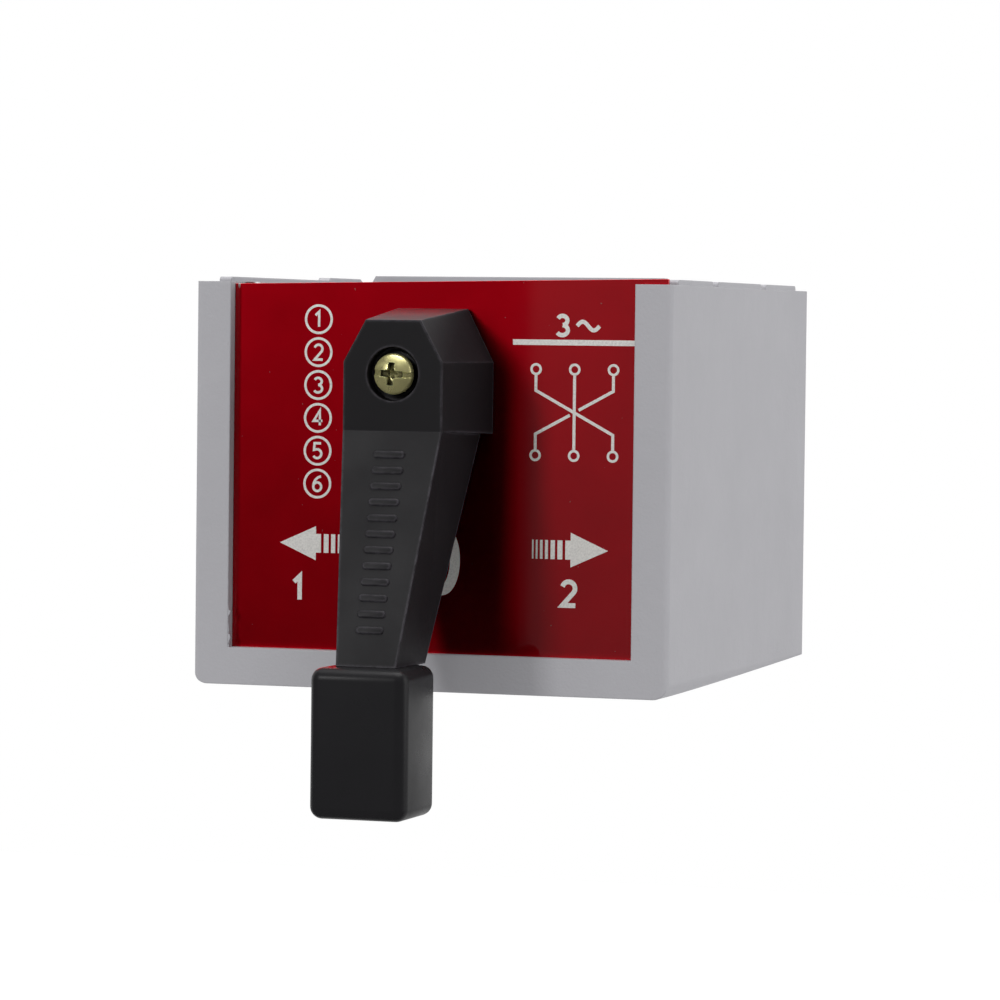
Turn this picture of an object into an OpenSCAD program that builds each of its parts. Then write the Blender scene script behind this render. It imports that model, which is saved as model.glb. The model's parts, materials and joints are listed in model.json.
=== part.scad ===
// Reversing drum switch: a moulded wall housing with a front lever that turns a contact drum.
// Millimetres. X runs to the right, Y into the wall, Z up. The origin is the centre of the
// four wall screw holes on the back face, and the drum's shaft lies along Y.

/* [Housing] */
// Width of the housing
housing_width = 100; // [80:0.5:130]
// Depth from the wall to the front frame
housing_depth = 104; // [80:0.5:130]
// Height at the front
housing_height = 81.3; // [70:0.1:100]
// Rise of the underside from the front to the wall
underside_rise = 2.5; // [0:0.1:4]
// Thickness of the side and back walls
wall = 3; // [2:0.1:5]
// Height of the inside floor above the front lower edge
floor_height = 5.6; // [4:0.1:8]
// Rounding of the upright front edges
front_edge_radius = 1.3; // [0.5:0.1:2]
// Rounding of the lower side edges
lower_edge_radius = 3; // [0.5:0.1:4]
// Width of the front frame at each side
frame_side = 7.5; // [5:0.1:12]
// Height of the front frame below the plate
frame_sill = 7.5; // [5:0.1:12]
// Depth of the front frame in front of the plate
frame_lip = 2.4; // [1.5:0.1:4]
// Depth of the rail behind the plate
rear_rail = 2; // [1.5:0.1:4]

/* [Rim pads] */
// Share of the depth in each gap between the right wall's pads
pad_gap_share = 0.0356; // [0.02:0.0001:0.05]
// Share of the depth in front of the first pad
pad_start_share = 0.048; // [0.03:0.001:0.1]
// Share of the depth that the first pad takes
pad_first_share = 0.24; // [0.15:0.01:0.26]
// Share of the depth that the middle pad takes
pad_middle_share = 0.32; // [0.2:0.01:0.34]
// Share of the depth that the last pad takes
pad_last_share = 0.234; // [0.15:0.001:0.26]
// Height of the pads on the right wall
right_pad_height = 1; // [0.5:0.1:2]
// Share of the depth in front of the left wall's low pad
left_start_share = 0.115; // [0.05:0.005:0.15]
// Share of the depth that the left wall's low pad takes
left_low_share = 0.52; // [0.3:0.01:0.55]
// Share of the depth that the left wall's high pad takes
left_high_share = 0.245; // [0.15:0.005:0.26]
// Height of the left wall's low pad
left_low_height = 1.1; // [0.5:0.1:2]
// Height of the left wall's high pad
left_high_height = 1.7; // [0.5:0.1:2.5]
// Length of the slopes at the high pad's ends
high_pad_slope = 3.5; // [1:0.1:5]
// Length of the slopes at the back pad's ends
back_pad_slope = 1.5; // [0.5:0.1:3]
// Height of the pad on the back wall
back_pad_height = 2.6; // [1:0.1:4]
// Length of the pad on the back wall
back_pad_length = 70; // [40:0.5:90]
// Width of a pad
pad_width = 2.6; // [1.5:0.1:3]
// Rounding of the pads' ends
pad_radius = 0.8; // [0.3:0.1:1]

/* [Face plate] */
// Width of the plate
plate_width = 97; // [80:0.5:99]
// Thickness of the plate
plate_thickness = 1; // [0.8:0.1:1.5]
// Depth of the slot below the frame's sill
plate_seat = 2.6; // [1:0.1:5]
// Height of the plate's left end above the rim
plate_left_rise = -0.5; // [-1:0.1:1]
// Height of the plate's right end above the rim
plate_right_rise = 1.1; // [0:0.1:2]
// Radius of the hole for the shaft
plate_hole_radius = 5; // [4.5:0.1:8]

/* [Shaft] */
// Height of the shaft above the wall pattern's centre
shaft_height = 22.66; // [15:0.1:30]
// Radius of the shaft
shaft_radius = 4; // [3:0.1:6]
// Side of the shaft's square end
square_side = 5.6; // [4:0.1:8]
// Length of the square end
square_length = 15; // [8:0.5:20]
// Depth of the thread hole in the shaft's end
thread_depth = 12; // [8:0.5:20]
// Radius of the lever screw's thread
lever_screw_radius = 2; // [1.5:0.1:3]
// Distance of the shaft's rear end from the wall
shaft_rear = 14; // [8:0.5:20]

/* [Lever] */
// Gap from the plate to the lever's hub
hub_gap = 0.6; // [0.3:0.1:2]
// Distance from the front frame to the hub's front face
hub_reach = 21.5; // [15:0.5:30]
// Half width of the hub's front face
hub_front_half = 10.2; // [8:0.1:14]
// Half width of the flat on top, front
hub_front_top_half = 5.67; // [4:0.1:8]
// Rise of the front face's top above the shaft
hub_front_top = 10.5; // [8:0.1:14]
// Rise of the front shoulders above the shaft
hub_front_shoulder = 2.3; // [0:0.1:6]
// Drop of the front face's lower edge below the shaft
hub_front_drop = 11.1; // [8:0.1:16]
// Half width of the hub's rear face
hub_rear_half = 12.87; // [10:0.1:16]
// Half width of the flat on top, rear
hub_rear_top_half = 7.43; // [5:0.1:10]
// Rise of the rear face's top above the shaft
hub_rear_top = 12.9; // [10:0.1:16]
// Rise of the rear shoulders above the shaft
hub_rear_shoulder = 2.4; // [0:0.1:6]
// Drop of the rear face's lower edge below the shaft
hub_rear_drop = 11.8; // [10:0.1:18]
// Distance from the front frame to the arm's rear face, top
arm_rear_top_reach = 1.6; // [1:0.1:8]
// Half width of the arm's rear face, top
arm_rear_half = 11.6; // [9:0.1:14]
// Drop of the arm's end below the shaft
arm_drop = 56.2; // [40:0.5:70]
// Distance from the front frame to the arm's front face, end
arm_front_reach = 35; // [28:0.5:45]
// Half width of the arm's front face, end
arm_front_end_half = 6.1; // [4:0.1:9]
// Distance from the front frame to the arm's rear face, end
arm_rear_reach = 19; // [12:0.5:26]
// Half width of the arm's rear face, end
arm_rear_end_half = 6.5; // [4:0.1:9]
// Radius of the recess for the screw head
recess_radius = 5.25; // [4.5:0.1:6]
// Depth of the recess for the screw head
recess_depth = 3.2; // [2:0.1:5]
// Length of the tongue inside the grip
tongue_length = 22; // [10:0.5:26]
// Half width of the tongue
tongue_half = 5; // [3:0.1:7]
// Thickness of the tongue
tongue_thickness = 9; // [5:0.1:12]

/* [Grip] */
// Width of the grip
grip_width = 19.8; // [15:0.1:25]
// Thickness of the grip
grip_thickness = 18.2; // [12:0.1:22]
// Height of the grip
grip_height = 29.1; // [20:0.1:40]
// Distance from the front frame to the grip's front face
grip_reach = 40; // [30:0.5:50]
// Rounding of the grip's upright edges
grip_radius = 1.8; // [1:0.1:4]

/* [Lever screw] */
// Radius of the screw head
screw_head_radius = 4; // [3:0.1:5]
// Height of the screw head's rim
screw_head_rim = 1.2; // [0.5:0.1:2]
// Height of the domed top above the rim
screw_head_dome = 1.6; // [0.5:0.1:2]
// Length of the screw below its head
lever_screw_length = 17.9; // [10:0.1:20]
// Thickness of the plain washer under the spring washer
plain_washer_thickness = 0.8; // [0.5:0.1:1.2]
// Radius of the plain washer
plain_washer_radius = 4.4; // [3.5:0.1:5]
// Thickness of the spring washer under the screw head
spring_washer_thickness = 1.1; // [0.6:0.1:1.5]
// Radius of the spring washer
spring_washer_radius = 3.6; // [3:0.1:4.5]
// Width of the spring washer's cut
spring_washer_cut = 0.7; // [0.4:0.1:1]
// Width of the slot in the head
slot_width = 1; // [0.6:0.1:1.5]
// Depth of the slot in the head
slot_depth = 1.1; // [0.5:0.1:2]
// Turn of the slot
slot_turn = 8; // [0:1:45]
// Length of the cross recess
cross_length = 4.4; // [3:0.1:6]
// Depth of the cross recess
cross_depth = 2; // [1:0.1:2.5]

/* [Drum] */
// Radius of the drum
drum_radius = 13.5; // [11:0.1:15]
// Gap between the front bracket and the drum
drum_front_gap = 3.5; // [2:0.1:6]
// Gap between the drum and the detent wheel
drum_rear_gap = 1.5; // [1:0.1:4]
// Share of the drum's length from one contact level to the next
level_pitch_share = 0.3276; // [0.3:0.0001:0.35]
// Share of the drum's length that a contact pad covers
pad_length_share = 0.1207; // [0.08:0.0001:0.14]
// Share of the drum's length that a joining strip covers
strip_width_share = 0.0603; // [0.05:0.0001:0.07]
// Share of the drum's length between a strip and the next level's pads
strip_gap_share = 0.0172; // [0.01:0.0001:0.03]
// Thickness of the contact segments
segment_thickness = 1.6; // [1:0.1:3]
// Half angle of a contact pad
pad_half_angle = 13; // [10:1:16]
// Angle from the rest position to a contact position
throw_angle = 60; // [45:1:60]
// Radius of the screws that hold the segments
segment_screw_radius = 0.7; // [0.5:0.05:0.9]
// Radius of their heads
segment_head_radius = 1.1; // [0.8:0.05:1.2]
// Height of their heads
segment_head_height = 0.8; // [0.5:0.1:1.2]
// Depth of their heads below the drum's surface
segment_head_sink = 0.2; // [0.1:0.05:0.4]
// Length of the screws that hold the segments
segment_screw_length = 6; // [4:0.1:8]
// Radius of the cross pins
cross_pin_radius = 1.25; // [1:0.05:2]
// Depth of the pins' ends below the surface
pin_sink = 2; // [1:0.1:3]

/* [Terminal board] */
// Half width of the board
board_half_width = 39; // [30:0.5:42]
// Thickness of the board
board_thickness = 4; // [3:0.1:6]
// Drop of the board's top face below the shaft
board_drop = 26.6; // [22:0.1:32]
// Gap between the front wall and the board
board_front_gap = 1.5; // [0.5:0.1:4]
// Distance from the wall to the board's rear edge
board_rear = 11; // [8:0.5:20]
// Radius of the posts that carry the board
post_radius = 3.5; // [3:0.1:5]
// Distance of the posts from the middle
post_offset = 31; // [25:0.5:35]
// Distance from the front bracket's front face to the front posts
post_inset = 5.5; // [4:0.1:8]
// Distance from the wall to the rear posts
post_rear = 24; // [18:0.5:30]
// Radius of the tapping screws
tapping_radius = 1.5; // [1:0.1:2]
// Radius of the tapping screws' heads
tapping_head_radius = 2.8; // [2:0.1:4]
// Height of the tapping screws' heads
tapping_head_height = 2; // [1:0.1:3]
// Length of the tapping screws
tapping_length = 10; // [6:0.5:14]

/* [Contact fingers] */
// Thickness of the finger strip
finger_thickness = 0.8; // [0.5:0.1:1.2]
// Width of a finger
finger_width = 6; // [4:0.1:9]
// Distance of the finger's bend from the shaft
finger_bend = 21; // [18:0.5:26]
// Outer end of the finger's foot
finger_foot_end = 37; // [32:0.5:39]
// Height of the finger's bend above the board
finger_knee = 6; // [3:0.1:12]
// Drop of the finger's upper bend below the shaft
finger_straight = 5; // [3:0.1:10]
// Rise of the finger's tip above the shaft
finger_tip_rise = 4; // [2:0.1:8]
// Radius of the contact button
button_radius = 2.2; // [1.5:0.1:3]
// Height of the contact button
button_height = 1.6; // [1:0.1:2.5]
// Gap from the button to the drum
button_gap = 0.3; // [0.2:0.05:0.5]
// Distance of the terminal screw from the shaft
terminal_offset = 30; // [26:0.5:34]
// Radius of the terminal screw
terminal_radius = 2; // [1.5:0.1:2.5]
// Radius of the terminal screw's head
terminal_head_radius = 3.6; // [3:0.1:4.5]
// Height of the terminal screw's head
terminal_head_height = 2.6; // [2:0.1:3.5]
// Side of the wire clamp
clamp_side = 8.4; // [6:0.1:10]
// Thickness of the wire clamp
clamp_thickness = 1.2; // [0.8:0.1:2]

/* [Brackets] */
// Thickness of the bearing brackets
bracket_thickness = 2.5; // [1.5:0.1:4]
// Half width of the bearing brackets
bracket_half_width = 15; // [12:0.5:20]
// Height of the brackets' tops above the shaft
bracket_crown = 10; // [8:0.1:13]
// Length of the bracket's foot
bracket_foot = 9; // [7:0.1:12]
// Gap between the front wall and the front bracket
front_bracket_gap = 2.5; // [2:0.1:5]
// Distance from the wall to the rear bracket's front face
rear_bracket_front = 24; // [20:0.5:26]
// Distance of the bracket screws from the middle
bracket_screw_offset = 10; // [7:0.1:14]
// Outer radius of the bushes
bush_radius = 6; // [5:0.1:8]
// Radius of the bushes' flanges
bush_flange_radius = 7.5; // [6:0.1:9]
// Thickness of the bushes' flanges
bush_flange = 1; // [0.5:0.1:2]

/* [Detent] */
// Radius of the detent wheel
wheel_radius = 11.5; // [9:0.1:13]
// Thickness of the detent wheel
wheel_thickness = 5; // [3:0.1:8]
// Gap between the detent wheel and the rear bush
wheel_gap = 0.5; // [0.3:0.1:2]
// Radius of the notches
notch_radius = 2; // [1.5:0.1:4]
// Radius of the spring's nose
nose_radius = 1.7; // [1:0.1:3]
// Distance of the nose's middle from the shaft
nose_offset = 11.2; // [9:0.1:13]
// Thickness of the detent spring
detent_thickness = 1; // [0.6:0.1:1.5]
// Distance of the spring's upright from the shaft
detent_upright = 14.2; // [12:0.1:18]
// Outer end of the detent spring's foot
detent_foot_end = 26; // [20:0.1:30]
// Distance of the detent screw from the shaft
detent_screw_offset = 21.5; // [17:0.1:26]
// Outer radius of the shaft clips
clip_radius = 6; // [5:0.1:8]
// Gap between a clip and its bush
clip_gap = 0.3; // [0.1:0.05:1]
// Thickness of the shaft clips
clip_thickness = 1; // [0.6:0.1:1.5]
// Depth of the clip grooves in the shaft
clip_groove = 0.6; // [0.3:0.1:1]

/* [Cover] */
// Thickness of the cover
cover_thickness = 2; // [1.5:0.1:4]
// Depth of the cover's top below the rim
cover_sink = 2; // [1.5:0.1:4]
// Gap all round the cover
cover_gap = 0.4; // [0.2:0.05:1]
// Side of the lugs that carry the cover
lug_side = 8; // [6:0.1:12]
// Height of the lugs
lug_height = 5.5; // [4:0.1:7]
// Distance of the lugs' screws from the walls' inner faces
lug_inset = 4.4; // [3:0.1:6]

/* [Wall screws and cable entry] */
// Spacing of the wall screws across
wall_screw_across = 80; // [60:0.5:84]
// Spacing of the wall screws up and down
wall_screw_up = 50; // [40:0.5:56]
// Radius of the wall screw holes
wall_screw_radius = 2.3; // [1.5:0.1:3]
// Distance of the cable entry from the wall
cable_distance = 45; // [30:0.5:70]
// Radius of the hole through the grommet
cable_radius = 5.5; // [3:0.1:8]
// Thickness of the grommet around the cable
grommet_thickness = 2; // [1:0.1:3]
// Width of the grommet's lips
grommet_lip = 2.2; // [1:0.1:4]
// Thickness of the grommet's lips
grommet_lip_thickness = 1.6; // [1:0.1:3]

/* [Fits] */
// Clearance between pieces that are fastened together
clearance = 0.05; // [0.02:0.01:0.1]
// Clearance between the plate and its slot
slot_clearance = 0.1; // [0.05:0.05:0.3]
// Length by which cuts run past the faces they cut
overrun = 1; // [0.5:0.1:2]

/* [Hidden] */
$fn = 64;

plastic = [0.66, 0.66, 0.68];
red = [0.52, 0.02, 0.07];
charcoal = [0.12, 0.12, 0.13];
brass = [0.75, 0.6, 0.28];
steel = [0.6, 0.6, 0.62];
board_brown = [0.3, 0.17, 0.09];
copper = [0.72, 0.45, 0.3];

half_width = housing_width / 2;
half_height = housing_height / 2;
front = -housing_depth;
top = half_height;
bottom = -half_height;
slot_size = plate_thickness + slot_clearance;
slot_front = front + frame_lip;
slot_back = slot_front + slot_size;
cavity_front = slot_back + rear_rail;
floor_level = bottom + floor_height;
sill_top = bottom + frame_sill;
plate_face = slot_front + slot_clearance / 2;
plate_bottom = sill_top - plate_seat;
hub_rear_face = plate_face - hub_gap;
hub_front_face = front - hub_reach;
screw_seat = hub_front_face + recess_depth;
washer_meeting = screw_seat - plain_washer_thickness;
head_seat = washer_meeting - spring_washer_thickness;
square_front = hub_rear_face - square_length;
board_top = shaft_height - board_drop;
board_bottom = board_top - board_thickness;
front_bracket_place = cavity_front + front_bracket_gap;
rear_bracket_place = -rear_bracket_front;
wheel_back = rear_bracket_place - bush_flange - wheel_gap;
wheel_front = wheel_back - wheel_thickness;
drum_front = front_bracket_place + bracket_thickness + drum_front_gap;
drum_rear = wheel_front - drum_rear_gap;
drum_length = drum_rear - drum_front;
level_two = (drum_front + drum_rear) / 2;
level_one = level_two - level_pitch_share * drum_length;
level_three = level_two + level_pitch_share * drum_length;
pad_half = pad_length_share * drum_length / 2;
strip_width = strip_width_share * drum_length;
strip_gap = strip_gap_share * drum_length;
forward_angle = 180 - throw_angle;
quarter_angle = (throw_angle + forward_angle) / 2;
sector_steps = 4;
button_tip = drum_radius + button_gap;
finger_face = button_tip + button_height;
cover_top = top - cover_sink;
cover_bottom = cover_top - cover_thickness;
grip_bottom = shaft_height - arm_drop - grip_height;
arm_end = shaft_height - arm_drop;
tongue_front = front - (arm_front_reach + arm_rear_reach + tongue_thickness) / 2;
drum_pin_place = (level_two + strip_gap + strip_width + level_three) / 2;
wheel_pin_place = (wheel_front + wheel_back) / 2;
front_clip = front_bracket_place - bush_flange - clip_gap - clip_thickness;
rear_clip = rear_bracket_place + bracket_thickness + clip_gap;
board_front = cavity_front + board_front_gap;
post_front = front_bracket_place + post_inset;

// A cylinder along Y between two distances
module rod(y_front, y_back, radius) {
  translate([0, y_back, 0])
    rotate([90, 0, 0])
      cylinder(h = y_back - y_front, r = radius);
}

// A cylinder along Z between two heights
module post(low, high, radius) {
  translate([0, 0, low])
    cylinder(h = high - low, r = radius);
}

// A block between two corners
module block(low, high) {
  translate(low)
    cube(high - low);
}

// Both halves of a left and right pair
module pair() {
  children();
  mirror([1, 0, 0])
    children();
}

// A rectangle with round corners
module soft_square(size, radius) {
  translate([radius, 0])
    square([size[0] - 2 * radius, size[1]]);
  translate([0, radius])
    square([size[0], size[1] - 2 * radius]);
  for (x = [radius, size[0] - radius])
    for (y = [radius, size[1] - radius])
      translate([x, y])
        circle(r = radius);
}

// The outside of the housing: three outlines crossed
module housing_body() {
  intersection() {
    translate([-half_width, 0, 0])
      rotate([90, 0, 90])
        linear_extrude(height = housing_width)
          polygon([[front, bottom], [0, bottom + underside_rise], [0, top], [front, top]]);
    rotate([90, 0, 0])
      linear_extrude(height = housing_depth)
        translate([-half_width, bottom])
          soft_square([housing_width, housing_height + lower_edge_radius + overrun], lower_edge_radius);
    translate([-half_width, front, bottom - overrun])
      linear_extrude(height = housing_height + 2 * overrun)
        soft_square([housing_width, housing_depth + front_edge_radius + overrun], front_edge_radius);
  }
}

// One pad on the rim: round ends, standing on the wall
module rim_pad(length, height) {
  translate([-pad_width / 2, 0, -overrun])
    rotate([90, 0, 90])
      linear_extrude(height = pad_width)
        union() {
          square([length, height + overrun - pad_radius]);
          translate([pad_radius, 0])
            square([length - 2 * pad_radius, height + overrun]);
          for (y = [pad_radius, length - pad_radius])
            translate([y, height + overrun - pad_radius])
              circle(r = pad_radius);
        }
}

// One pad on the rim with sloping ends
module sloped_pad(length, height, slope) {
  translate([-pad_width / 2, 0, -overrun])
    rotate([90, 0, 90])
      linear_extrude(height = pad_width)
        polygon([[0, 0], [length, 0], [length, overrun], [length - slope, height + overrun],
          [slope, height + overrun], [0, overrun]]);
}

module right_pads() {
  start = front + pad_start_share * housing_depth;
  second = start + (pad_first_share + pad_gap_share) * housing_depth;
  third = second + (pad_middle_share + pad_gap_share) * housing_depth;
  translate([0, start, top])
    rim_pad(pad_first_share * housing_depth, right_pad_height);
  translate([0, second, top])
    rim_pad(pad_middle_share * housing_depth, right_pad_height);
  translate([0, third, top])
    rim_pad(pad_last_share * housing_depth, right_pad_height);
}

module left_pads() {
  start = front + left_start_share * housing_depth;
  translate([0, start, top])
    rim_pad(left_low_share * housing_depth + high_pad_slope, left_low_height);
  translate([0, start + left_low_share * housing_depth, top])
    sloped_pad(left_high_share * housing_depth, left_high_height, high_pad_slope);
}

module post_places() {
  for (y = [post_front, -post_rear])
    for (x = [-post_offset, post_offset])
      translate([x, y, 0])
        children();
}

module lug_places() {
  for (y = [cavity_front + lug_inset, -wall - lug_inset])
    for (side = [-1, 1])
      translate([side * (half_width - wall - lug_inset), y, 0])
        children();
}

module wall_screw_places() {
  for (x = [-wall_screw_across / 2, wall_screw_across / 2])
    for (z = [-wall_screw_up / 2, wall_screw_up / 2])
      translate([x, 0, z])
        children();
}

module cover_lug() {
  reach = lug_inset + wall / 2;
  block([-reach, -reach, cover_bottom - lug_height], [reach, reach, cover_bottom]);
}

module housing() {
  inner = half_width - wall;
  color(plastic)
    difference() {
      union() {
        difference() {
          housing_body();
          block([-inner, cavity_front, floor_level], [inner, -wall, top + overrun]);
          block([frame_side - half_width, front - overrun, sill_top],
            [half_width - frame_side, cavity_front + overrun, top + overrun]);
          block([-plate_width / 2 - slot_clearance, slot_front, plate_bottom - slot_clearance],
            [plate_width / 2 + slot_clearance, slot_back, top + overrun]);
        }
        post_places()
          post(floor_level - overrun, board_bottom, post_radius);
        intersection() {
          lug_places()
            cover_lug();
          block([-inner - overrun, cavity_front - overrun, bottom], [inner + overrun, overrun - wall, top]);
        }
        translate([half_width - wall / 2, 0, 0])
          right_pads();
        translate([wall / 2 - half_width, 0, 0])
          left_pads();
        translate([-half_width + clearance, -wall / 2, top])
          rotate([0, 0, -90])
            sloped_pad(back_pad_length, back_pad_height, back_pad_slope);
      }
      post_places()
        post(board_bottom - tapping_length, board_bottom + overrun, tapping_radius + clearance);
      lug_places()
        post(cover_bottom - lug_height + overrun, cover_bottom + overrun, tapping_radius + clearance);
      wall_screw_places()
        rod(-wall - overrun, overrun, wall_screw_radius);
      translate([0, -cable_distance, 0])
        post(bottom - overrun, floor_level + overrun, cable_radius + grommet_thickness + clearance);
    }
}

module face_plate() {
  half_plate = plate_width / 2;
  color(red)
    difference() {
      translate([0, plate_face + plate_thickness, 0])
        rotate([90, 0, 0])
          linear_extrude(height = plate_thickness)
            polygon([[-half_plate, plate_bottom], [half_plate, plate_bottom],
              [half_plate, top + plate_right_rise], [-half_plate, top + plate_left_rise]]);
      translate([0, 0, shaft_height])
        rod(plate_face - overrun, plate_face + plate_thickness + overrun, plate_hole_radius);
    }
}

module top_cover() {
  inner = half_width - wall - cover_gap;
  color(plastic)
    difference() {
      block([-inner, cavity_front + cover_gap, cover_bottom], [inner, -wall - cover_gap, cover_top]);
      lug_places()
        post(cover_bottom - overrun, cover_top + overrun, tapping_radius + clearance);
    }
}

module tapping_screw(seat, length) {
  difference() {
    union() {
      post(seat - length, seat, tapping_radius);
      post(seat, seat + tapping_head_height, tapping_head_radius);
    }
    block([-tapping_head_radius - overrun, -slot_width / 2, seat + tapping_head_height / 2],
      [tapping_head_radius + overrun, slot_width / 2, seat + tapping_head_height + overrun]);
  }
}

module cover_screws() {
  color(steel)
    lug_places()
      tapping_screw(cover_top, cover_thickness + lug_height - 2 * overrun);
}

// The lever: a hub and an arm with flat faces, and a tongue for the grip
module lever() {
  low = shaft_height - hub_front_drop;
  rear_low = shaft_height - hub_rear_drop;
  rear_top = shaft_height + hub_rear_top;
  rear_shoulder = shaft_height + hub_rear_shoulder;
  front_top = shaft_height + hub_front_top;
  front_shoulder = shaft_height + hub_front_shoulder;
  color(charcoal)
    difference() {
      union() {
        polyhedron(
          points = [
            [-hub_front_half, hub_front_face, low],
            [hub_front_half, hub_front_face, low],
            [hub_front_half, hub_front_face, front_shoulder],
            [hub_front_top_half, hub_front_face, front_top],
            [-hub_front_top_half, hub_front_face, front_top],
            [-hub_front_half, hub_front_face, front_shoulder],
            [-hub_rear_half, hub_rear_face, rear_low],
            [hub_rear_half, hub_rear_face, rear_low],
            [hub_rear_half, hub_rear_face, rear_shoulder],
            [hub_rear_top_half, hub_rear_face, rear_top],
            [-hub_rear_top_half, hub_rear_face, rear_top],
            [-hub_rear_half, hub_rear_face, rear_shoulder]
          ],
          faces = [
            [5, 4, 3, 2, 1, 0], [6, 7, 8, 9, 10, 11],
            [0, 1, 7], [0, 7, 6], [1, 2, 8], [1, 8, 7], [2, 3, 9], [2, 9, 8],
            [3, 4, 10], [3, 10, 9], [4, 5, 11], [4, 11, 10], [5, 0, 6], [5, 6, 11]
          ]);
        polyhedron(
          points = [
            [-hub_front_half, hub_front_face, low],
            [hub_front_half, hub_front_face, low],
            [arm_rear_half, front - arm_rear_top_reach, low],
            [-arm_rear_half, front - arm_rear_top_reach, low],
            [-arm_front_end_half, front - arm_front_reach, arm_end],
            [arm_front_end_half, front - arm_front_reach, arm_end],
            [arm_rear_end_half, front - arm_rear_reach, arm_end],
            [-arm_rear_end_half, front - arm_rear_reach, arm_end]
          ],
          faces = [
            [2, 1, 0], [3, 2, 0], [5, 6, 7], [4, 5, 7],
            [5, 4, 0], [1, 5, 0], [6, 5, 1], [2, 6, 1],
            [7, 6, 2], [3, 7, 2], [4, 7, 3], [0, 4, 3]
          ]);
        block([-tongue_half, tongue_front, arm_end - tongue_length],
          [tongue_half, tongue_front + tongue_thickness, arm_end + overrun]);
      }
      translate([0, 0, shaft_height]) {
        rod(hub_front_face - overrun, screw_seat, recess_radius);
        rod(screw_seat - overrun, hub_rear_face + overrun, lever_screw_radius + clearance);
        block([-square_side / 2 - clearance, square_front - clearance, -square_side / 2 - clearance],
          [square_side / 2 + clearance, hub_rear_face + overrun, square_side / 2 + clearance]);
      }
    }
}

module grip_cap() {
  color(charcoal)
    difference() {
      translate([-grip_width / 2, front - grip_reach, grip_bottom])
        linear_extrude(height = grip_height)
          soft_square([grip_width, grip_thickness], grip_radius);
      block([-tongue_half - clearance, tongue_front - clearance, arm_end - tongue_length - clearance],
        [tongue_half + clearance, tongue_front + tongue_thickness + clearance, arm_end + overrun]);
    }
}

// The plain washer on the recess floor
module plain_washer() {
  color(steel)
    translate([0, 0, shaft_height])
      difference() {
        rod(washer_meeting, screw_seat, plain_washer_radius);
        rod(washer_meeting - overrun, screw_seat + overrun, lever_screw_radius + clearance);
      }
}

// The cut spring washer under the screw's head
module spring_washer() {
  color(steel)
    translate([0, 0, shaft_height])
      difference() {
        rod(head_seat, washer_meeting, spring_washer_radius);
        rod(head_seat - overrun, washer_meeting + overrun, lever_screw_radius + clearance);
        rotate([0, slot_turn, 0])
          block([-spring_washer_cut / 2, head_seat - overrun, 0],
            [spring_washer_cut / 2, washer_meeting + overrun, spring_washer_radius + overrun]);
      }
}

module lever_screw() {
  dome_base = head_seat - screw_head_rim;
  dome_top = dome_base - screw_head_dome;
  sphere_radius = (screw_head_radius * screw_head_radius + screw_head_dome * screw_head_dome)
    / (2 * screw_head_dome);
  color(brass)
    translate([0, 0, shaft_height])
      difference() {
        union() {
          rod(head_seat - overrun / 2, head_seat + lever_screw_length, lever_screw_radius);
          intersection() {
            rod(dome_top - overrun, head_seat, screw_head_radius);
            translate([0, dome_top + sphere_radius, 0])
              sphere(r = sphere_radius);
          }
        }
        rotate([0, slot_turn, 0]) {
          block([-screw_head_radius - overrun, dome_top - overrun, -slot_width / 2],
            [screw_head_radius + overrun, dome_top + slot_depth, slot_width / 2]);
          block([-slot_width / 2, dome_top - overrun, -cross_length / 2],
            [slot_width / 2, dome_top + cross_depth, cross_length / 2]);
          block([-cross_length / 2, dome_top - overrun, -slot_width / 2],
            [cross_length / 2, dome_top + cross_depth, slot_width / 2]);
        }
      }
}

module shaft() {
  round_front = hub_rear_face + hub_gap / 2;
  half_side = square_side / 2;
  color(steel)
    translate([0, 0, shaft_height])
      difference() {
        union() {
          rod(round_front, -shaft_rear, shaft_radius);
          block([-half_side, square_front, -half_side], [half_side, round_front + overrun, half_side]);
        }
        rod(square_front - overrun, square_front + thread_depth, lever_screw_radius + clearance);
        for (y = [front_clip, rear_clip])
          difference() {
            rod(y - clearance, y + clip_thickness + clearance, shaft_radius + overrun);
            rod(y - overrun, y + clip_thickness + overrun, shaft_radius - clip_groove);
          }
        translate([-shaft_radius - overrun, drum_pin_place, 0])
          rotate([0, 90, 0])
            cylinder(h = 2 * (shaft_radius + overrun), r = cross_pin_radius + clearance);
        translate([0, wheel_pin_place, -shaft_radius - overrun])
          cylinder(h = 2 * (shaft_radius + overrun), r = cross_pin_radius + clearance);
      }
}

// The drum's outer skin, from which the segments are cut
module skin_shell(extra, over) {
  difference() {
    rod(drum_front - overrun, drum_rear + overrun, drum_radius + over);
    rod(drum_front - 2 * overrun, drum_rear + 2 * overrun, drum_radius - segment_thickness - extra);
  }
}

// A sector between two angles, from one distance to another
module sector(first_angle, last_angle, y_front, y_back, extra) {
  spread = extra / drum_radius * 180 / PI;
  start_angle = first_angle - spread;
  step_angle = (last_angle - first_angle + 2 * spread) / sector_steps;
  reach = 2 * drum_radius;
  rim = [for (i = [0 : sector_steps])
    [reach * cos(start_angle + i * step_angle), reach * sin(start_angle + i * step_angle)]];
  translate([0, y_back + extra, 0])
    rotate([90, 0, 0])
      linear_extrude(height = y_back - y_front + 2 * extra)
        polygon(concat([[0, 0]], rim));
}

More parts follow.
